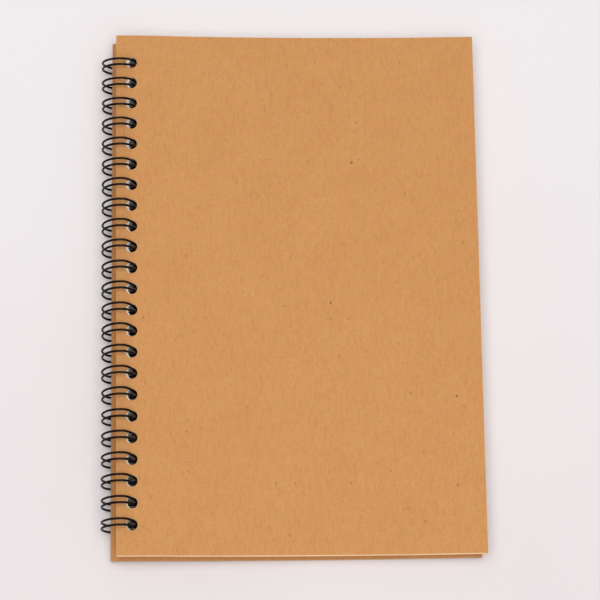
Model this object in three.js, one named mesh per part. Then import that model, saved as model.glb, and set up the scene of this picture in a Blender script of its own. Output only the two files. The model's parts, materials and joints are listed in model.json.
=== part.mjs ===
// A5 sketchbook bound with a 3:1 twin-loop wire: two kraft board covers, twelve blocks of white drawing paper and one continuous wire.
// Millimetres. +X runs from the spine to the fore edge, +Y from the tail to the head, +Z from the back cover to the front cover.
// Every piece is drawn about the axis of the wire loops (x = 0, z = 0), because that axis is the hinge of each leaf.
import * as THREE from "three";

// Binding wire
const LOOPS = 23; // twin loops
const PITCH = 25.4 / 3; // three loops to the inch
const RING_R = 7.0; // corner radius of the wire's centre line round a loop
const END_R = 6.9; // radius of the centre line at the seam
const WIRE_D = 0.9;
const WIRE_SIDES = 6;
const TWIN = 2.4; // distance between the two wires of a loop
const ARC_STEPS = 11;
const ROOT_DEG = 264; // where the runs between the loops lie, underneath the book
const TIP_DEG = -84; // where the hairpin tips end, next to the runs
const BEND_R = 0.8; // bend from a loop into a run

// Covers
const BOARD_T = 1.0;
const COVER_W = 141.4;
const COVER_H = 210;
const COVER_HOLE_D = 5.0;
const COVER_HOLE_SIDES = 10;
const BACK_Z = -5.25; // underside of the back cover
const FRONT_Z = 2.85; // underside of the front cover
const BACK_X = -2.95; // spine edges
const FRONT_X = -1.3;
const BACK_SLIP = -0.5; // the back cover hangs this much towards the tail
const FRONT_HOLE_X = 4.75;
const BACK_HOLE_X = 4.95;

// Paper
const BLOCKS = 12;
const GAP = 0.055; // air between neighbours
const PAGE_W = 134.6;
const PAGE_H = 207;
const PAGE_HOLE_D = 4.0;
const PAGE_HOLE_SIDES = 6;
const PAGE_MARGIN = 4.0; // spine edge to hole centre
const MEAN_R = 6.95; // mean radius of the wire's centre line
const RIDE_LOW = 0.35; // hole centre beyond the wire's centre line, lowest block
const RIDE_HIGH = -0.6; // the same, highest block
const BLOCK_T = (FRONT_Z - (BACK_Z + BOARD_T) - (BLOCKS + 1) * GAP) / BLOCKS;

const kraft = () =>
  new THREE.MeshStandardMaterial({ color: 0xd3985f, roughness: 0.85 });
const paper = () =>
  new THREE.MeshStandardMaterial({ color: 0xf6f3e9, roughness: 0.9 });
const blackWire = () =>
  new THREE.MeshStandardMaterial({
    color: 0x17130f,
    roughness: 0.3,
    metalness: 0.1,
  });

const loopY = (i) => ((LOOPS - 1) / 2 - i) * PITCH;

// A hole whose flats touch the circle of the given diameter, as a clockwise ring of points.
function holeRing(x, y, diameter, sides) {
  const r = diameter / 2 / Math.cos(Math.PI / sides);
  return Array.from({ length: sides }, (_, k) => {
    const a = -((k + 0.5) * 2 * Math.PI) / sides;
    return new THREE.Vector2(x + r * Math.cos(a), y + r * Math.sin(a));
  });
}

// A rectangular sheet with a row of binding holes beside its spine edge. The punched strip and the plain field are
// triangulated apart, so that the field is two large flat faces on each side.
function sheet({ x, w, h, y, z, t, holeX, holeD, sides }) {
  const x1 = x + w,
    y0 = y - h / 2,
    y1 = y + h / 2,
    xs = holeX + holeD / 2 + 2.6;
  const strip = [
    new THREE.Vector2(x, y0),
    new THREE.Vector2(xs, y0),
    new THREE.Vector2(xs, y1),
    new THREE.Vector2(x, y1),
  ];
  const holes = Array.from({ length: LOOPS }, (_, i) =>
    holeRing(holeX, loopY(i) + y, holeD, sides),
  );
  const flat = [...strip, ...holes.flat()];
  const faces = THREE.ShapeUtils.triangulateShape(strip, holes);
  flat.push(new THREE.Vector2(x1, y0), new THREE.Vector2(x1, y1));
  const a = flat.length - 2,
    b = flat.length - 1;
  faces.push([1, a, b], [1, b, 2]);
  const n = flat.length;
  const position = [];
  for (const level of [z, z + t])
    for (const p of flat) position.push(p.x, p.y, level);
  const index = [];
  for (const [i, j, k] of faces) {
    index.push(i + n, j + n, k + n); // top
    index.push(i, k, j); // underside
  }
  const wall = (i, j) => index.push(i, j, j + n, i, j + n, i + n);
  wall(0, 1);
  wall(1, a);
  wall(a, b);
  wall(b, 2);
  wall(2, 3);
  wall(3, 0);
  holes.forEach((ring, r) => {
    const first = 4 + r * sides;
    for (let k = 0; k < sides; k++)
      wall(first + k, first + ((k + 1) % sides));
  });
  const g = new THREE.BufferGeometry();
  g.setAttribute("position", new THREE.Float32BufferAttribute(position, 3));
  g.setIndex(index);
  g.computeVertexNormals();
  return g;
}

// The wire's centre line, as a curve through given corners.
class Route extends THREE.Curve {
  constructor(corners) {
    super();
    this.corners = corners;
  }
  getPoint(t) {
    const n = this.corners.length - 1,
      u = THREE.MathUtils.clamp(t, 0, 1) * n,
      i = Math.min(Math.floor(u + 1e-9), n - 1);
    return this.corners[i].clone().lerp(this.corners[i + 1], u - i);
  }
  getPointAt(u) {
    return this.getPoint(u);
  }
  getTangentAt(u) {
    const n = this.corners.length - 1,
      i = Math.round(u * n);
    const before = this.corners[Math.max(i - 1, 0)],
      here = this.corners[i],
      after = this.corners[Math.min(i + 1, n)];
    const t = new THREE.Vector3();
    if (i > 0) t.add(here.clone().sub(before).normalize());
    if (i < n) t.add(after.clone().sub(here).normalize());
    return t.normalize();
  }
  getSpacedPoints(n) {
    return Array.from({ length: n + 1 }, (_, i) => this.getPoint(i / n));
  }
}

// One continuous wire: along one side of each loop, round its hairpin tip, back along the other side and on to the next loop.
function bindingRoute() {
  const at = (r, deg, y) => {
    const a = THREE.MathUtils.degToRad(deg);
    return new THREE.Vector3(r * Math.cos(a), y, r * Math.sin(a));
  };
  const toDeg = (mm) => THREE.MathUtils.radToDeg(mm / END_R);
  const s = TWIN / 2;
  const start = ROOT_DEG - toDeg(BEND_R),
    end = TIP_DEG + toDeg(s);
  const points = [];
  for (let i = 0; i < LOOPS; i++) {
    const y = loopY(i);
    if (i > 0) points.push(at(END_R, ROOT_DEG, y + s + BEND_R));
    else points.push(at(END_R, ROOT_DEG, y + s));
    for (let k = 0; k <= ARC_STEPS; k++)
      points.push(
        at(
          k === 0 || k === ARC_STEPS ? END_R : RING_R,
          start + ((end - start) * k) / ARC_STEPS,
          y + s,
        ),
      );
    for (const a of [45, 90, 135]) {
      const r = THREE.MathUtils.degToRad(a);
      points.push(
        at(END_R, end - toDeg(s * Math.sin(r)), y + s * Math.cos(r)),
      );
    }
    for (let k = ARC_STEPS; k >= 0; k--)
      points.push(
        at(
          k === 0 || k === ARC_STEPS ? END_R : RING_R,
          start + ((end - start) * k) / ARC_STEPS,
          y - s,
        ),
      );
    if (i < LOOPS - 1) points.push(at(END_R, ROOT_DEG, y - s - BEND_R));
    else points.push(at(END_R, ROOT_DEG, y - s));
  }
  return new Route(points);
}

function bindingWire() {
  const route = bindingRoute();
  const section = new THREE.Shape(
    Array.from({ length: WIRE_SIDES }, (_, k) => {
      const a = (k * 2 * Math.PI) / WIRE_SIDES;
      return new THREE.Vector2(
        (WIRE_D / 2) * Math.cos(a),
        (WIRE_D / 2) * Math.sin(a),
      );
    }),
  );
  return new THREE.ExtrudeGeometry(section, {
    steps: route.corners.length - 1,
    bevelEnabled: false,
    extrudePath: route,
  });
}

const book = new THREE.Group();
const piece = (name, geometry, material) => {
  const m = new THREE.Mesh(geometry, material);
  m.name = name;
  book.add(m);
  return m;
};

piece(
  "back_cover",
  sheet({
    x: BACK_X,
    w: COVER_W,
    h: COVER_H,
    y: BACK_SLIP,
    z: BACK_Z,
    t: BOARD_T,
    holeX: BACK_HOLE_X,
    holeD: COVER_HOLE_D,
    sides: COVER_HOLE_SIDES,
  }),
  kraft(),
);

// The blocks follow the round of the wire, so the middle ones stand a little further out.
for (let k = 0; k < BLOCKS; k++) {
  const z = BACK_Z + BOARD_T + GAP + k * (BLOCK_T + GAP);
  const mid = z + BLOCK_T / 2;
  const ride = RIDE_LOW + ((RIDE_HIGH - RIDE_LOW) * k) / (BLOCKS - 1);
  const holeX = Math.sqrt(MEAN_R ** 2 - mid ** 2) + ride;
  piece(
    `page_block_${String(k + 1).padStart(2, "0")}`,
    sheet({
      x: holeX - PAGE_MARGIN,
      w: PAGE_W,
      h: PAGE_H,
      y: 0,
      z,
      t: BLOCK_T,
      holeX,
      holeD: PAGE_HOLE_D,
      sides: PAGE_HOLE_SIDES,
    }),
    paper(),
  );
}

piece(
  "front_cover",
  sheet({
    x: FRONT_X,
    w: COVER_W,
    h: COVER_H,
    y: 0,
    z: FRONT_Z,
    t: BOARD_T,
    holeX: FRONT_HOLE_X,
    holeD: COVER_HOLE_D,
    sides: COVER_HOLE_SIDES,
  }),
  kraft(),
);

piece("binding_wire", bindingWire(), blackWire());

// The finished book stands with the middle of its footprint at the origin.
const box = new THREE.Box3().setFromObject(book);
const middle = box.getCenter(new THREE.Vector3());
book.position.set(-middle.x, -middle.y, -box.min.z);

const sketchbook = new THREE.Group();
sketchbook.add(book);
export default sketchbook;
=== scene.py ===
import json
import math
import random

import bpy
from mathutils import Matrix, Vector


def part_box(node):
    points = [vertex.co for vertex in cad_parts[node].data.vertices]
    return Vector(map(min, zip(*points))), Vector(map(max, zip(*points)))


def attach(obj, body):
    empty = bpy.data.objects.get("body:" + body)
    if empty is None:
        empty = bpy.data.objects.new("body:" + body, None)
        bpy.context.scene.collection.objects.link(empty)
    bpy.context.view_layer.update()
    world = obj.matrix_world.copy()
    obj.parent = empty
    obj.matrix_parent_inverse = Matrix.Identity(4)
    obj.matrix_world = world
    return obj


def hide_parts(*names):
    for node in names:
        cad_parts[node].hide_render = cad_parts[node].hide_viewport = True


MM = 0.001
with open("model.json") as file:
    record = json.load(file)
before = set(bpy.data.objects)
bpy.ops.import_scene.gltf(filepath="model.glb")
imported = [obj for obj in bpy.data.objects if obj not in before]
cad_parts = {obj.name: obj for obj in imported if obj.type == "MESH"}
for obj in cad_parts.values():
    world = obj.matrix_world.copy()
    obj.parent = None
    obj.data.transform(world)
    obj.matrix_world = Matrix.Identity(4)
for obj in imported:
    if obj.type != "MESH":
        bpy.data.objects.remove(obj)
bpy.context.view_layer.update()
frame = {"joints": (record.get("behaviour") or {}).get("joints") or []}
rng = random.Random(23)

# ---------------------------------------------------------------- what the frame says
hinge = next(j for j in frame["joints"] if j["name"] == "front_cover_turn")
AX, _, AZ = hinge["pos_m"]  # axis of the wire loops
f_lo, f_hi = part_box("front_cover")
b_lo, b_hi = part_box("back_cover")
w_lo, w_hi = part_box("binding_wire")
LOOPS = 23
PITCH = 25.4 / 3 * MM
MID_Y = (f_lo.y + f_hi.y) / 2
LOOP_Y = [MID_Y + (11 - i) * PITCH for i in range(LOOPS)]

# ---------------------------------------------------------------- helpers: meshes


def new_object(name, verts, faces, materials, face_slots=None, smooth=None):
    mesh = bpy.data.meshes.new(name)
    mesh.from_pydata([tuple(v) for v in verts], [], faces)
    for m in materials:
        mesh.materials.append(m)
    if face_slots:
        mesh.polygons.foreach_set("material_index", face_slots)
    if smooth is not None:
        mesh.polygons.foreach_set("use_smooth", smooth)
    mesh.validate()
    mesh.update()
    if face_slots and len(materials) > 1:
        # a crisp line where the faces of a board meet its cut edge
        sides = {}
        for p in mesh.polygons:
            for e in p.edge_keys:
                sides.setdefault(e, set()).add(p.material_index)
        sharp = mesh.attributes.new("sharp_edge", "BOOLEAN", "EDGE")
        for e in mesh.edges:
            sharp.data[e.index].value = len(sides.get(e.key, ())) > 1
    o = bpy.data.objects.new(name, mesh)
    bpy.context.scene.collection.objects.link(o)
    return o


def sag_at(z):
    """The front board sags a little more than the back one, and the sheets between them go evenly from one to the other."""
    t = min(max((z - b_hi.z) / (f_lo.z - b_hi.z), 0.0), 1.0)
    return (1.4 + 0.6 * t) * MM


def bow(x, depth):
    """How far a sheet lies below its edges at x: boards and paper sag between the loops and the fore edge."""
    x0, x1 = f_lo.x + 0.010, f_hi.x
    u = min(max((x - x0) / (x1 - x0), 0.0), 1.0)
    s = u * u * (3 - 2 * u)
    flat = 4 * u * (1 - u)
    lead = min(u / 0.10, 1.0)
    lead = lead * lead * (3 - 2 * lead)
    return -depth * flat * (0.35 + 0.65 * lead)


def punched_sheet(
    name, x0, x1, y0, y1, z0, z1, hole_x, hole_r, side, bevel, columns, materials, yaw=0.0, hole_bevel=None, move=(0.0, 0.0), hole_dy=0.0,
    corners=None, flare=0.0,
):
    """A closed sheet with a row of round holes beside its left edge. side is the number of points on a quarter of a
    hole. The faces are slot 0 and the cut edges slot 1. bevel is how far the spine, fore, tail and head edges are
    rounded, and hole_bevel the holes' rims. corners is how far the tail spine, tail fore, head spine and head fore
    corners are out of square. flare is how much wider the holes are on the underside, where the punch broke out."""
    bl, br, bt, bh = bevel
    drop = max(bevel)
    hb = drop if hole_bevel is None else hole_bevel
    strip_x = hole_x + hole_r + 0.0022
    key, verts = {}, []

    def vertex(x, y, z):
        x, y, z = round(x, 9), round(y, 9), round(z, 9)
        k = (round(x * 1e7), round(y * 1e7), round(z * 1e7))
        if k not in key:
            key[k] = len(verts)
            verts.append([x, y, z])
        return key[k]

    faces, slots, smooth = [], [], []
    rows = 1

    def face(ids, slot, sm=True):
        out = []
        for i in ids:
            if not out or (out[-1] != i and out[0] != i):
                out.append(i)
        if len(out) >= 3:
            faces.append(out)
            slots.append(slot)
            smooth.append(sm)

    a0, a1, c0, c1 = x0 + bl, x1 - br, y0 + bt, y1 - bh
    ys = sorted(y + hole_dy for y in LOOP_Y)
    cuts = [c0] + [(p + q) / 2 for p, q in zip(ys, ys[1:])] + [c1]
    half = side // 2

    def lerp(p, q, t):
        return p + (q - p) * t

    for top in (True, False):
        z = z1 if top else z0

        def put(points, slot=0):
            ids = [vertex(px, py, z) for px, py in points]
            face(ids if top else ids[::-1], slot)

        right_y = set()
        left_y = set()
        for n, cy in enumerate(ys):
            lo, hi = cuts[n], cuts[n + 1]
            # rectangle boundary, anticlockwise from its lower left corner
            rect = (
                [(lerp(a0, strip_x, k / side), lo) for k in range(side)]
                + [(strip_x, lerp(lo, hi, k / side)) for k in range(side)]
                + [(lerp(strip_x, a0, k / side), hi) for k in range(side)]
                + [(a0, lerp(hi, lo, k / side)) for k in range(side)]
            )
            r = hole_r + hb + (0.0 if top else flare)
            ring = [
                (
                    hole_x + r * math.cos(-3 * math.pi / 4 + 2 * math.pi * k / (4 * side)),
                    cy + r * math.sin(-3 * math.pi / 4 + 2 * math.pi * k / (4 * side)),
                )
                for k in range(4 * side)
            ]
            mids = [((p[0] + 2 * q[0]) / 3, (p[1] + 2 * q[1]) / 3) for p, q in zip(rect, ring)]
            for k in range(4 * side):
                j = (k + 1) % (4 * side)
                put([rect[k], rect[j], mids[j], mids[k]])
                put([mids[k], mids[j], ring[j], ring[k]])
            for k in range(side + 1):
                right_y.add(round(lerp(lo, hi, k / side), 9))
        # the field: a fan from the strip's many points to a plain column, then plain quads
        right = sorted(right_y)
        col0 = strip_x + 0.004
        rows_y = [lerp(c0, c1, k / rows) for k in range(rows + 1)]
        i = 0
        for k in range(rows):
            lo, hi = rows_y[k], rows_y[k + 1]
            seg = [y for y in right if lo - 1e-9 <= y <= hi + 1e-9]
            if k == 0:
                seg = [y for y in right if y <= hi + 1e-9]
            mid = (lo + hi) / 2
            # triangles from the column's two points to the strip's points
            start = i
            while i < len(right) - 1 and (right[i + 1] <= hi + 1e-9 or k == rows - 1):
                pick = lo if (right[i] + right[i + 1]) / 2 < mid else hi
                put([(strip_x, right[i]), (col0, pick), (strip_x, right[i + 1])])
                i += 1
            # the joint triangle between the two column points
            change = start
            while change < i and (right[change] + right[change + 1]) / 2 < mid:
                change += 1
            put([(strip_x, right[change]), (col0, lo), (col0, hi)])
        xs = [lerp(col0, a1, k / columns) for k in range(columns + 1)]
        for p, q in zip(xs, xs[1:]):
            for lo, hi in zip(rows_y, rows_y[1:]):
                put([(p, lo), (q, lo), (q, hi), (p, hi)])

    # outer wall: the boundary of the top face, rounded down to the underside
    left = sorted({round(lerp(cuts[n], cuts[n + 1], k / side), 9) for n in range(LOOPS) for k in range(side + 1)})
    bottom_x = [lerp(a0, strip_x, k / side) for k in range(side + 1)]
    far_x = [lerp(strip_x + 0.004, a1, k / columns) for k in range(columns + 1)]
    rows_y = [lerp(c0, c1, k / rows) for k in range(rows + 1)]
    outline = (
        [(x, c0) for x in bottom_x]
        + [(x, c0) for x in far_x]
        + [(a1, y) for y in rows_y[1:]]
        + [(x, c1) for x in far_x[::-1][1:]]
        + [(x, c1) for x in bottom_x[::-1]]
        + [(a0, y) for y in left[::-1][1:-1]]
    )

    def pushed(p, d):
        x, y = p
        dx = -d * bl if abs(x - a0) < 1e-8 else (d * br if abs(x - a1) < 1e-8 else 0.0)
        dy = -d * bt if abs(y - c0) < 1e-8 else (d * bh if abs(y - c1) < 1e-8 else 0.0)
        return x + dx, y + dy

    def profile(b):
        """Steps of (share of the outward push, height) from the top face to the underside round two small bevels."""
        if b <= 0:
            return [(0.0, z1), (0.0, z0)]
        n = 4
        out = [(math.sin(math.pi / 2 * k / n), z1 - b * (1 - math.cos(math.pi / 2 * k / n))) for k in range(n + 1)]
        out += [(math.cos(math.pi / 2 * k / n), z0 + b * (1 - math.sin(math.pi / 2 * k / n))) for k in range(n + 1)]
        return out

    steps = profile(drop)
    m = len(outline)
    for (d0, h0), (d1, h1) in zip(steps, steps[1:]):
        for k in range(m):
            p, q = outline[k], outline[(k + 1) % m]
            ids = [
                vertex(*pushed(p, d0), h0),
                vertex(*pushed(p, d1), h1),
                vertex(*pushed(q, d1), h1),
                vertex(*pushed(q, d0), h0),
            ]
            face(ids, 1, drop > 0)
    steps = profile(hb)
    for cy in ys:
        n = 4 * side
        for (d0, h0), (d1, h1) in zip(steps, steps[1:]):
            for k in range(n):
                a = -3 * math.pi / 4 + 2 * math.pi * k / n
                b = -3 * math.pi / 4 + 2 * math.pi * (k + 1) / n
                r0 = hole_r + hb * (1 - d0) + flare * (z1 - h0) / (z1 - z0)
                r1 = hole_r + hb * (1 - d1) + flare * (z1 - h1) / (z1 - z0)
                ids = [
                    vertex(hole_x + r0 * math.cos(a), cy + r0 * math.sin(a), h0),
                    vertex(hole_x + r0 * math.cos(b), cy + r0 * math.sin(b), h0),
                    vertex(hole_x + r1 * math.cos(b), cy + r1 * math.sin(b), h1),
                    vertex(hole_x + r1 * math.cos(a), cy + r1 * math.sin(a), h1),
                ]
                # the holes' walls take the last slot; for the sheets that is the paper darkened as painted shade inside
                # the holes
                face(ids, len(materials) - 1, True)
    # sag, then a slight turn in the plane about the middle of the row of holes
    c, s = math.cos(yaw), math.sin(yaw)
    for v in verts:
        v[2] += bow(v[0], sag_at(v[2]))
        dx, dy = v[0] - hole_x, v[1] - MID_Y
        u, w = (v[0] - x0) / (x1 - x0), (v[1] - y0) / (y1 - y0)
        v[0], v[1] = hole_x + c * dx - s * dy + move[0], MID_Y + s * dx + c * dy + move[1]
        if corners:
            share = ((1 - u) * (1 - w), u * (1 - w), (1 - u) * w, u * w)
            v[0] += sum(k * q[0] for k, q in zip(share, corners)) * MM
            v[1] += sum(k * q[1] for k, q in zip(share, corners)) * MM
    return new_object(name, verts, faces, materials, slots, smooth)


def tube(name, path, radius, sides, material):
    """A closed round tube along a list of points, with rounded cut ends."""
    n = len(path)
    tangents = []
    for i in range(n):
        a, b = path[max(i - 1, 0)], path[min(i + 1, n - 1)]
        tangents.append((b - a).normalized())
    normal = tangents[0].orthogonal().normalized()
    verts, faces = [], []

    def ring(centre, t, nrm, r):
        bi = t.cross(nrm)
        for k in range(sides):
            a = 2 * math.pi * k / sides
            verts.append(centre + (nrm * math.cos(a) + bi * math.sin(a)) * r)

    rings = 0
    t = tangents[0]
    for out, r in ((0.35, 0.55), (0.2, 0.85)):
        ring(path[0] - t * radius * out, t, normal, radius * r)
        rings += 1
    for i in range(n):
        if i:
            q = tangents[i - 1].rotation_difference(tangents[i])
            normal = (q @ normal).normalized()
            normal = (normal - tangents[i] * normal.dot(tangents[i])).normalized()
        ring(path[i], tangents[i], normal, radius)
        rings += 1
    t = tangents[-1]
    for out, r in ((0.2, 0.85), (0.35, 0.55)):
        ring(path[-1] + t * radius * out, t, normal, radius * r)
        rings += 1
    for j in range(rings - 1):
        for k in range(sides):
            m = (k + 1) % sides
            faces.append([j * sides + k, j * sides + m, (j + 1) * sides + m, (j + 1) * sides + k])
    faces.append([k for k in range(sides)][::-1])
    faces.append([(rings - 1) * sides + k for k in range(sides)])
    o = new_object(name, verts, faces, [material], None, [True] * (len(faces) - 2) + [False, False])
    return o


# ---------------------------------------------------------------- helpers: materials


class Nodes:
    """Short hand for a material's node tree."""

    def __init__(self, name):
        self.mat = bpy.data.materials.new(name)
        self.mat.use_nodes = True
        self.t = self.mat.node_tree
        self.t.nodes.clear()
        self.out = self.t.nodes.new("ShaderNodeOutputMaterial")
        self.bsdf = self.t.nodes.new("ShaderNodeBsdfPrincipled")
        self.t.links.new(self.bsdf.outputs[0], self.out.inputs[0])
        self.coord = self.t.nodes.new("ShaderNodeTexCoord").outputs["Object"]

    def link(self, a, b):
        self.t.links.new(a, b)

    def mapping(self, scale, rotate=(0, 0, 0), move=(0, 0, 0)):
        n = self.t.nodes.new("ShaderNodeMapping")
        n.inputs["Scale"].default_value = scale
        n.inputs["Rotation"].default_value = rotate
        n.inputs["Location"].default_value = move
        self.link(self.coord, n.inputs["Vector"])
        return n.outputs[0]

    def noise(self, vector, scale=1.0, detail=2.0, rough=0.5, distortion=0.0):
        n = self.t.nodes.new("ShaderNodeTexNoise")
        n.inputs["Scale"].default_value = scale
        n.inputs["Detail"].default_value = detail
        n.inputs["Roughness"].default_value = rough
        n.inputs["Distortion"].default_value = distortion
        self.link(vector, n.inputs["Vector"])
        return n.outputs["Fac"]

    def voronoi(self, vector, scale=1.0, feature="F1"):
        n = self.t.nodes.new("ShaderNodeTexVoronoi")
        n.feature = feature
        n.inputs["Scale"].default_value = scale
        self.link(vector, n.inputs["Vector"])
        return n

    def math(self, op, a, b=None, clamp=False):
        n = self.t.nodes.new("ShaderNodeMath")
        n.operation = op
        n.use_clamp = clamp
        for i, v in enumerate((a, b)):
            if v is None:
                continue
            if isinstance(v, (int, float)):
                n.inputs[i].default_value = v
            else:
                self.link(v, n.inputs[i])
        return n.outputs[0]

    def ramp(self, value, low, high, to_low=0.0, to_high=1.0, smooth=True):
        n = self.t.nodes.new("ShaderNodeMapRange")
        n.interpolation_type = "SMOOTHSTEP" if smooth else "LINEAR"
        self.link(value, n.inputs["Value"])
        n.inputs["From Min"].default_value = low
        n.inputs["From Max"].default_value = high
        n.inputs["To Min"].default_value = to_low
        n.inputs["To Max"].default_value = to_high
        return n.outputs[0]

    def mix(self, factor, a, b, blend="MIX"):
        n = self.t.nodes.new("ShaderNodeMix")
        n.data_type = "RGBA"
        n.blend_type = blend
        for s, v in (("Factor_Float", factor), ("A_Color", a), ("B_Color", b)):
            sock = next(i for i in n.inputs if i.identifier == s)
            if isinstance(v, (int, float)):
                sock.default_value = v
            elif isinstance(v, tuple):
                sock.default_value = v
            else:
                self.link(v, sock)
        return next(o for o in n.outputs if o.identifier == "Result_Color")

    def strands(self, vector, scale, width, detail=0.0, distortion=0.0):
        """Thin curved lines: the level line of a noise."""
        n = self.noise(vector, scale, detail, 0.5, distortion)
        d = self.math("ABSOLUTE", self.math("SUBTRACT", n, 0.5))
        return self.ramp(d, 0.0, width, 1.0, 0.0)

    def bump(self, height, strength, distance, normal=None):
        n = self.t.nodes.new("ShaderNodeBump")
        n.inputs["Strength"].default_value = strength
        n.inputs["Distance"].default_value = distance
        self.link(height, n.inputs["Height"])
        if normal is not None:
            self.link(normal, n.inputs["Normal"])
        return n.outputs[0]


def srgb(r, g, b):
    def f(c):
        c /= 255
        return c / 12.92 if c <= 0.04045 else ((c + 0.055) / 1.055) ** 2.4

    return (f(r), f(g), f(b), 1.0)


def kraft_face(name, base=(213, 152, 92), seed=0.0):
    m = Nodes(name)
    off = (seed, seed * 1.7, 0)
    plain = m.mapping((1, 1, 1), move=off)
    up = m.mapping((1.0, 0.28, 1.0), move=off)  # strokes along the height of the book
    lean = m.mapping((1.0, 0.45, 1.0), rotate=(0, 0, 0.9), move=off)
    cloud = m.noise(plain, 60, 3, 0.55)
    blotch = m.noise(plain, 260, 3, 0.6)
    grain = m.noise(plain, 2600, 2, 0.6)
    mottle = m.noise(plain, 1050, 3, 0.62)
    stroke = m.noise(up, 900, 2, 0.6, 0.3)
    colour = m.mix(m.ramp(cloud, 0.35, 0.65), srgb(*[c * k for c, k in zip(base, (0.992, 0.987, 0.980))]), srgb(*[min(c * k, 255) for c, k in zip(base, (1.006, 1.010, 1.016))]))
    colour = m.mix(m.ramp(blotch, 0.40, 0.70, 0.0, 0.26), colour, srgb(*[min(c * k, 255) for c, k in zip(base, (1.03, 1.05, 1.07))]))
    hue = m.noise(m.mapping((1, 1, 1), move=(seed + 0.4, 0.1, 0)), 420, 2, 0.5)
    colour = m.mix(m.ramp(hue, 0.52, 0.66, 0.0, 0.55), colour, srgb(*[c * k for c, k in zip(base, (0.988, 1.007, 0.945))]))
    colour = m.mix(m.ramp(hue, 0.48, 0.34, 0.0, 0.55), colour, srgb(*[c * k for c, k in zip(base, (1.017, 0.986, 1.045))]))
    colour = m.mix(m.ramp(stroke, 0.50, 0.68, 0.0, 0.24), colour, srgb(*[c * k for c, k in zip(base, (0.90, 0.87, 0.82))]))
    colour = m.mix(m.ramp(stroke, 0.46, 0.30, 0.0, 0.22), colour, srgb(*[min(c * k, 255) for c, k in zip(base, (1.05, 1.08, 1.12))]))
    colour = m.mix(m.ramp(mottle, 0.50, 0.72, 0.0, 0.30), colour, srgb(*[c * k for c, k in zip(base, (0.90, 0.87, 0.82))]))
    colour = m.mix(m.ramp(mottle, 0.48, 0.28, 0.0, 0.30), colour, srgb(*[min(c * k, 255) for c, k in zip(base, (1.05, 1.08, 1.12))]))
    # single fibres, pale and brown, broken into short lengths
    keep = m.ramp(m.noise(plain, 700, 1, 0.5), 0.52, 0.60)
    keep2 = m.ramp(m.noise(lean, 520, 1, 0.5), 0.53, 0.60)
    pale = m.math("MULTIPLY", m.strands(up, 420, 0.012, 1.0, 0.4), keep)
    brown = m.math("MULTIPLY", m.strands(lean, 360, 0.010, 1.0, 0.6), keep2)
    colour = m.mix(m.math("MULTIPLY", pale, 0.26), colour, srgb(236, 186, 134))
    colour = m.mix(m.math("MULTIPLY", brown, 0.36), colour, srgb(158, 102, 58))
    # dark bark specks, one in some of the cells
    cell = m.voronoi(m.mapping((1.0, 0.8, 1.0), move=off), 105)
    sep = m.t.nodes.new("ShaderNodeSeparateColor")
    m.link(cell.outputs["Color"], sep.inputs[0])
    size = m.ramp(sep.outputs[0], 0.72, 1.0, 0.0, 0.055, smooth=False)
    jag = m.math("ADD", cell.outputs["Distance"], m.ramp(m.noise(plain, 2200, 1, 0.5), 0.3, 0.7, -0.022, 0.022))
    speck = m.math("LESS_THAN", jag, size)
    fine = m.voronoi(m.mapping((1.0, 0.6, 1.0), move=off), 330)
    sep2 = m.t.nodes.new("ShaderNodeSeparateColor")
    m.link(fine.outputs["Color"], sep2.inputs[0])
    size2 = m.ramp(sep2.outputs[1], 0.62, 1.0, 0.03, 0.15, smooth=False)
    speck2 = m.math("MULTIPLY", m.math("LESS_THAN", fine.outputs["Distance"], size2), m.math("GREATER_THAN", sep2.outputs[1], 0.62))
    colour = m.mix(m.math("MULTIPLY", speck2, 0.42), colour, srgb(158, 104, 58))
    colour = m.mix(m.math("MULTIPLY", speck, 0.72), colour, srgb(104, 62, 34))
    colour = m.mix(m.ramp(grain, 0.3, 0.7, 0.0, 0.10), colour, srgb(*[c * k for c, k in zip(base, (0.86, 0.82, 0.78))]))
    m.link(colour, m.bsdf.inputs["Base Color"])
    m.link(m.ramp(stroke, 0.3, 0.7, 0.78, 0.90), m.bsdf.inputs["Roughness"])
    m.bsdf.inputs["Specular IOR Level"].default_value = 0.28
    m.bsdf.inputs["Sheen Weight"].default_value = 0.08
    m.bsdf.inputs["Sheen Roughness"].default_value = 0.6
    height = m.math("ADD", m.math("MULTIPLY", stroke, 0.6), m.math("ADD", m.math("MULTIPLY", grain, 0.25), m.math("MULTIPLY", m.math("ADD", pale, brown), 0.35)))
    n = m.bump(height, 0.35, 0.00006)
    n = m.bump(cloud, 0.25, 0.0002, n)
    m.link(n, m.bsdf.inputs["Normal"])
    return m.mat


def kraft_edge(name, shade=1.0):
    """The cut edge of the board: paler, in fine layers, with a little fuzz."""
    m = Nodes(name)
    layers = m.noise(m.mapping((30, 30, 5200)), 1.0, 3, 0.65, 0.2)
    fuzz = m.noise(m.mapping((1, 1, 1)), 2400, 2, 0.6)
    dark = m.noise(m.mapping((1, 1, 2.5)), 380, 2, 0.6)
    low, high = (srgb(*[c * shade for c in rgb]) for rgb in ((240, 196, 150), (253, 219, 180)))
    colour = m.mix(m.ramp(layers, 0.35, 0.65), low, high)
    colour = m.mix(m.ramp(dark, 0.58, 0.78, 0.0, 0.35), colour, srgb(205 * shade, 150 * shade, 104 * shade))
    colour = m.mix(m.ramp(fuzz, 0.35, 0.65, 0.0, 0.25), colour, srgb(252 * shade, 214 * shade, 172 * shade))
    m.link(colour, m.bsdf.inputs["Base Color"])
    m.bsdf.inputs["Roughness"].default_value = 0.92
    m.bsdf.inputs["Specular IOR Level"].default_value = 0.2
    n = m.bump(m.math("ADD", layers, m.math("MULTIPLY", fuzz, 0.5)), 0.5, 0.00008)
    m.link(n, m.bsdf.inputs["Normal"])
    return m.mat


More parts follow.
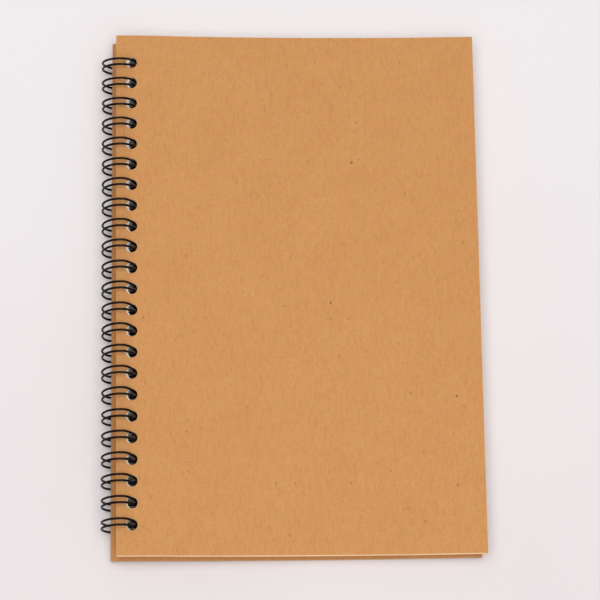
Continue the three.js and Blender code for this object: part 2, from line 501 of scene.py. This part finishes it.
def drawing_paper(name, edge=False, shade=1.0):
    m = Nodes(name)
    tooth = m.noise(m.mapping((1, 1, 1)), 1500, 3, 0.6)
    felt = m.noise(m.mapping((1, 0.6, 1)), 320, 2, 0.5)
    fibre = m.math("MULTIPLY", m.strands(m.mapping((1, 0.7, 1), rotate=(0, 0, 0.4)), 300, 0.008, 1.0, 0.5), m.ramp(m.noise(m.mapping((1, 1, 1)), 240, 1, 0.5), 0.55, 0.62))
    colour = m.mix(m.ramp(felt, 0.35, 0.65), srgb(249 * shade, 247 * shade, 238 * shade), srgb(254 * shade, 253 * shade, 247 * shade))
    colour = m.mix(m.math("MULTIPLY", fibre, 0.25), colour, srgb(226, 219, 200))
    if edge:
        cut = m.noise(m.mapping((90, 90, 3000)), 1.0, 2, 0.5)
        colour = m.mix(m.ramp(cut, 0.4, 0.7, 0.0, 0.35), colour, srgb(228 * shade, 222 * shade, 206 * shade))
    m.link(colour, m.bsdf.inputs["Base Color"])
    m.bsdf.inputs["Roughness"].default_value = 0.9
    m.bsdf.inputs["Specular IOR Level"].default_value = 0.25
    n = m.bump(tooth, 0.35, 0.00003)
    n = m.bump(felt, 0.25, 0.00008, n)
    m.link(n, m.bsdf.inputs["Normal"])
    return m.mat


def coated_wire(name):
    m = Nodes(name)
    skin = m.noise(m.mapping((1, 1, 1)), 1800, 2, 0.5)
    draw = m.noise(m.mapping((1, 1, 1)), 420, 2, 0.5)
    colour = m.mix(m.ramp(draw, 0.35, 0.7), srgb(9, 6, 6), srgb(20, 14, 13))
    m.link(colour, m.bsdf.inputs["Base Color"])
    m.link(m.ramp(skin, 0.35, 0.7, 0.24, 0.36), m.bsdf.inputs["Roughness"])
    m.bsdf.inputs["Specular IOR Level"].default_value = 0.11
    m.bsdf.inputs["Coat Weight"].default_value = 0.05
    m.bsdf.inputs["Coat Roughness"].default_value = 0.10
    m.link(m.bump(skin, 0.12, 0.00002), m.bsdf.inputs["Normal"])
    return m.mat


kraft_a = kraft_face("kraft_face_front", seed=0.013)
# painted shade: the back board is the same kraft as the front, given a slightly darker base to stand in for the shade
# on its strip beside the front board
kraft_b = kraft_face("kraft_face_back_with_painted_shade", base=(206, 146, 89), seed=0.211)
edge_m = kraft_edge("kraft_cut_edge")
# painted shade: the back board's cut edge is the same board edge darkened to 0.84, standing in for the shadow it lies
# in near the floor
edge_back_shaded = kraft_edge("kraft_cut_edge_back_painted_shade", shade=0.84)
paper_m = drawing_paper("drawing_paper_face")
paper_e = drawing_paper("drawing_paper_edge", edge=True)
# painted shade: the walls of the sheets' holes use the same white paper darkened to 0.40, standing in for the shade
# deep inside the stack of holes
paper_hole_shaded = drawing_paper("drawing_paper_hole_painted_shade", edge=True, shade=0.40)
wire_m = coated_wire("coated_wire")

# ---------------------------------------------------------------- covers
front = punched_sheet(
    "front_cover_board", f_lo.x, f_hi.x, f_lo.y, f_hi.y, f_lo.z, f_hi.z,
    AX + 4.63 * MM, 2.20 * MM, 10, (0.06 * MM, 0.14 * MM, 0.30 * MM, 0.14 * MM), 44, [kraft_a, edge_m],
    yaw=-0.0004, hole_bevel=0.10 * MM, move=(-0.13 * MM, -0.5 * MM), hole_dy=0.30 * MM,
    corners=((0.0, -0.45), (-0.24, -0.08), (-0.24, 0.18), (0.08, 0.20)), flare=0.80 * MM,
)
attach(front, "front")
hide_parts("front_cover")

back = punched_sheet(
    "back_cover_board", b_lo.x, b_hi.x, b_lo.y, b_hi.y, b_lo.z, b_hi.z,
    AX + 4.95 * MM, 2.50 * MM, 10, (0.08 * MM, 0.10 * MM, 0.08 * MM, 0.10 * MM), 44, [kraft_b, edge_back_shaded],
    yaw=-0.0006, hole_bevel=0.08 * MM, move=(-0.25 * MM, -0.35 * MM), hole_dy=0.15 * MM,
    corners=((-0.38, -0.30), (0.0, 0.55), (0.02, 0.0), (0.0, 0.0)),
)
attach(back, "back")
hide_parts("back_cover")

# ---------------------------------------------------------------- sheets: four to a block
PER = 4
number = 0
for k in range(1, 13):
    node = f"page_block_{k:02d}"
    lo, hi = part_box(node)
    pitch = (hi.z - lo.z) / PER
    for s in range(PER):
        number += 1
        z0 = lo.z + s * pitch + 0.012 * MM
        z1 = lo.z + (s + 1) * pitch
        dx = rng.uniform(-0.12, 0.12) * MM
        dy = rng.uniform(-0.15, 0.15) * MM
        page = punched_sheet(
            f"sheet_{number:02d}", lo.x + dx, hi.x + dx, lo.y, hi.y, z0, z1,
            AX + 5.78 * MM + 0.3 * dx, 2.75 * MM, 6, (0.0, 0.0, 0.0, 0.0), 16, [paper_m, paper_e, paper_hole_shaded],
            yaw=-0.004 + rng.uniform(-0.0003, 0.0003), hole_dy=-0.12 * MM - 0.7 * dy, move=(0.0, dy),
        )
        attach(page, f"leaf_{k:02d}")
        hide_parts(node)

# ---------------------------------------------------------------- wire
RING = 6.9 * MM
WIRE_R = 0.44 * MM
TWIN = 2.4 * MM
ROOT, TIP = 264.0, -84.0
BEND = 0.9 * MM


def ring_point(r, deg, y):
    a = math.radians(deg)
    return Vector((AX + r * math.cos(a), y, AZ + r * math.sin(a)))


def to_deg(length):
    return math.degrees(length / RING)


path = []
h = TWIN / 2
for i in range(LOOPS):
    y = LOOP_Y[i] + rng.uniform(-0.06, 0.06) * MM
    # the loops lean a little towards the head in the middle of the row, and towards the tail at its ends
    away = abs(i - 11.5) / 11.5
    lean = (0.48 - (1.15 if i < 11.5 else 0.65) * away**2.2 + rng.uniform(-0.10, 0.10)) * MM
    reach = 0.15 * (i / (LOOPS - 1)) ** 4 * MM  # the last loops reach further out
    hold = (-0.02 - 0.40 * i / (LOOPS - 1)) * MM  # the front board's holes draw the wires towards the tail
    wide = rng.uniform(-0.05, 0.05) * MM
    push = rng.uniform(-0.05, 0.05) * MM

    def at(deg, off, i=i, y=y, lean=lean, wide=wide, push=push, reach=reach, hold=hold):
        # the twin wires part a little more at the back than at the hairpin, and each loop leans
        grip = max(0.0, math.sin(math.radians(deg)))
        side = math.copysign(1.0, off) if abs(off) > 1e-9 else 0.0
        seam = min(1.0, abs(deg - (ROOT if deg > 90 else TIP)) / 40.0)
        spread = 0.5 - 0.5 * math.cos(math.radians(min(max(deg - 20.0, 0.0), 65.0)) * 180 / 65)
        part = (0.20 * spread - 0.15) * MM  # the pair closes up towards the hairpin
        drawn = 0.50 * MM * max(0.0, math.cos(math.radians(min(abs(deg - 25.0) * 1.8, 90.0))))
        tip = min(max((deg - 15.0) / 55.0, 0.0), 1.0)
        swing = 0.5 - 0.5 * math.cos(math.radians(min(max(deg - 80.0, 0.0), 100.0)) * 1.8)
        held = 0.5 + 0.5 * math.cos(math.radians(min(max(deg - 22.0, 0.0), 50.0)) * 180 / 50)
        shift = lean * math.sin(math.radians(deg)) * tip - 0.20 * MM * swing + hold * held
        along = y + off + (shift + side * (wide * grip + part)) * seam
        out = push + reach * max(0.0, -math.cos(math.radians(deg))) ** 4
        return ring_point(RING + out * seam - drawn, deg, along)

    start, end = ROOT - to_deg(BEND), TIP + to_deg(h)
    n = 56
    if i == 0:
        path += [ring_point(RING, ROOT + 2.0, y + h), ring_point(RING, ROOT - 1.0, y + h)]
    else:
        for a in (0, 30, 60):
            r = math.radians(a)
            path.append(ring_point(RING, ROOT - to_deg(BEND * (1 - math.cos(r))), y + h + BEND * (1 - math.sin(r))))
    for k in range(n + 1):
        path.append(at(start + (end - start) * k / n, h))
    for a in range(15, 180, 15):
        r = math.radians(a)
        path.append(ring_point(RING, end - to_deg(h * math.sin(r)), y + h * math.cos(r)))
    for k in range(n, -1, -1):
        path.append(at(start + (end - start) * k / n, -h))
    if i == LOOPS - 1:
        path += [ring_point(RING, ROOT - 1.0, y - h), ring_point(RING, ROOT + 2.0, y - h)]
    else:
        for a in (60, 30, 0):
            r = math.radians(a)
            path.append(ring_point(RING, ROOT - to_deg(BEND * (1 - math.cos(r))), y - h - BEND * (1 - math.sin(r))))
wire = tube("wire_binding", path, WIRE_R, 14, wire_m)
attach(wire, "binding")
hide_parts("binding_wire")

# ---------------------------------------------------------------- floor, lights, camera
# the book leans on its loops and on the lowest line of the sagging back cover
foot_x, foot_z = AX + 0.002, w_lo.z
tilt = min(
    (b_lo.z + bow(x, sag_at(b_lo.z)) - foot_z) / (x - foot_x)
    for x in (b_lo.x + (b_hi.x - b_lo.x) * k / 200 for k in range(40, 201))
)
size = 2.4
floor_v = []
for x, y in ((-size, -size), (size, -size), (size, size), (-size, size)):
    floor_v.append((x, y, foot_z + (x - foot_x) * tilt - 0.00008))
fm = Nodes("pale_floor")
cl = fm.noise(fm.mapping((1, 1, 1)), 9, 3, 0.55)
tone = fm.mix(fm.ramp(cl, 0.3, 0.7), srgb(236, 230, 232), srgb(239, 234, 236))
# painted light: the floor's colour turns lighter towards the head, standing in for light that falls brighter on the
# head side than on the tail side
along = fm.t.nodes.new("ShaderNodeSeparateXYZ")
fm.link(fm.coord, along.inputs[0])
tone = fm.mix(fm.ramp(along.outputs[1], -0.16, 0.16), tone, srgb(247, 243, 245))
fm.link(tone, fm.bsdf.inputs["Base Color"])
fm.bsdf.inputs["Roughness"].default_value = 0.85
fm.bsdf.inputs["Specular IOR Level"].default_value = 0.2
floor = new_object("floor", floor_v, [(0, 1, 2, 3)], [fm.mat])


def area(name, place, target, size_m, watts, colour=(1, 1, 1)):
    light = bpy.data.lights.new(name, "AREA")
    light.shape = "SQUARE"
    light.size = size_m
    light.energy = watts
    light.color = colour
    o = bpy.data.objects.new(name, light)
    o.location = place
    o.rotation_euler = (Vector(target) - Vector(place)).to_track_quat("-Z", "Y").to_euler()
    bpy.context.scene.collection.objects.link(o)
    return o


area("key", (-0.08, -0.30, 1.6), (0, 0, 0), 1.5, 19.0, (1.0, 0.99, 0.985))
area("head_fill", (0.0, 1.1, 1.0), (0, 0, 0), 1.2, 2.2, (1.0, 0.99, 0.98))
area("tail_fill", (0.3, -1.25, 0.8), (0, 0, 0), 1.2, 2.0, (1.0, 0.99, 0.98))
world = bpy.data.worlds.new("studio")
world.use_nodes = True
world.node_tree.nodes["Background"].inputs[0].default_value = (1.0, 0.985, 0.98, 1)
world.node_tree.nodes["Background"].inputs[1].default_value = 0.32
bpy.context.scene.world = world
bpy.context.scene.view_settings.view_transform = "Standard"

cam = bpy.data.cameras.new("camera")
cam.sensor_width = 36
cam.lens = 3146.9 / 600 * 36
cam.shift_x = -0.02586
cam.shift_y = 0.00680
cam.clip_start = 0.1
cam.clip_end = 20
cam_o = bpy.data.objects.new("camera", cam)
look = Matrix(
    (
        (0.99841832, 0.00122246, -0.05620819),
        (-0.01727933, 0.95804574, -0.28609402),
        (0.05350027, 0.28661276, 0.95655154),
    )
)
cam_o.matrix_world = Matrix.Translation((-0.059425, -0.355413, 1.177984)) @ look.to_4x4()
bpy.context.scene.collection.objects.link(cam_o)
bpy.context.scene.camera = cam_o
